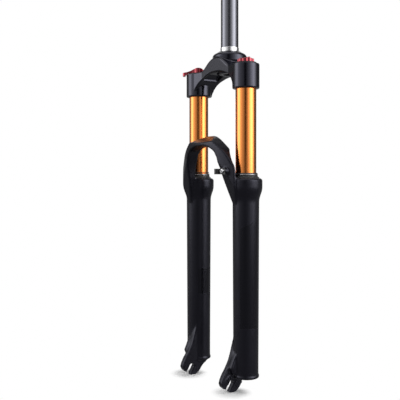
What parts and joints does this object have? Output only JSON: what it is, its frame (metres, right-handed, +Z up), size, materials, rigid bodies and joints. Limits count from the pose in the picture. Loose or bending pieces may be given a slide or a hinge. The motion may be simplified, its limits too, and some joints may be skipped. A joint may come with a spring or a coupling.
{
  "type": "bicycle suspension fork",
  "caption": "Air-sprung mountain bike suspension fork: straight steerer, gold stanchions, arched black lower legs, quick-release dropouts and a crown lockout lever.",
  "frame": {"origin": "on the steerer axis, in the plane that the headset's crown race sits on", "axes": "+Z up the steerer, -Y the way the bicycle rides, +X to the rider's left"},
  "size_m": [0.1806, 0.0911, 0.754],
  "materials": {
    "gunmetal": "satin gunmetal anodising, bare at the race seat",
    "crown_black": "satin black paint on forged aluminium",
    "lower_black": "black paint on cast magnesium, satin with gloss panels",
    "gold_anodised": "polished and anodised gold",
    "red_anodised": "satin red anodising",
    "black_anodised": "satin black anodising",
    "plain_aluminium": "turned, uncoated",
    "steel": "zinc plated",
    "hard_chrome": "ground and hard chromed",
    "brass": "turned",
    "black_rubber": "moulded, slightly shiny with oil",
    "bush_plastic": "self-lubricating polymer",
    "foam": "oil-soaked open foam",
    "black_plastic": "moulded nylon",
    "piston_plastic": "glass-filled nylon"
  },
  "bodies": {
    "crown_assembly": {"steerer_tube": "gunmetal", "crown": "crown_black", "stanchion_left": "gold_anodised", "stanchion_right": "gold_anodised", "air_top_cap": "black_anodised", "damper_top_cap": "black_anodised", "top_cap_oring_left": "black_rubber", "top_cap_oring_right": "black_rubber", "air_valve_stem": "brass", "compression_valve": "plain_aluminium", "air_seal_head": "piston_plastic", "damper_seal_head": "piston_plastic", "rod_seal_left": "black_rubber", "rod_seal_right": "black_rubber", "circlips": "steel", "top_out_bumper_left": "black_rubber", "top_out_bumper_right": "black_rubber"},
    "lower_legs": {"lower_casting": "lower_black", "wiper_seal_left": "black_rubber", "wiper_seal_right": "black_rubber", "garter_spring_left": "steel", "garter_spring_right": "steel", "foam_ring_left": "foam", "foam_ring_right": "foam", "bushing_upper_left": "bush_plastic", "bushing_upper_right": "bush_plastic", "bushing_lower_left": "bush_plastic", "bushing_lower_right": "bush_plastic", "air_shaft": "hard_chrome", "air_piston": "piston_plastic", "air_piston_seal": "black_rubber", "bottom_out_bumper": "black_rubber", "damper_rod": "hard_chrome", "damper_piston": "plain_aluminium", "damper_piston_ring": "bush_plastic", "foot_bolts": "steel", "crush_washers": "plain_aluminium", "hose_clip": "black_plastic", "hose_clip_bolt": "steel"},
    "lockout": {"lockout_lever": "red_anodised", "lever_screw": "steel", "lockout_shaft": "plain_aluminium"},
    "air_cap": {"air_cap": "red_anodised"},
    "valve_pin": {"valve_core_pin": "steel"},
    "travel_marker": {"travel_ring": "black_rubber"}
  },
  "joints": [
    {"name": "lower_slide", "type": "slide", "parent": "crown_assembly", "child": "lower_legs", "axis": [0, 0, 1], "range_m": [0, 0.12], "stiffness_N_per_m": 5000},
    {"name": "lockout_turn", "type": "hinge", "parent": "crown_assembly", "child": "lockout", "pos_m": [-0.065, -0.017, -0.027], "axis": [0, 0, -1], "range_deg": [0, 90]},
    {"name": "air_cap_lift", "type": "slide", "parent": "crown_assembly", "child": "air_cap", "axis": [0, 0, 1], "range_m": [0, 0.012]},
    {"name": "valve_pin_press", "type": "slide", "parent": "crown_assembly", "child": "valve_pin", "axis": [0, 0, -1], "range_m": [0, 0.0015], "stiffness_N_per_m": 300},
    {"name": "travel_ring_slide", "type": "slide", "parent": "crown_assembly", "child": "travel_marker", "axis": [0, 0, 1], "range_m": [0, 0.12]}
  ],
  "couplings": [
    {"joint": "travel_ring_slide", "follows": "lower_slide", "ratio": 1}
  ]
}
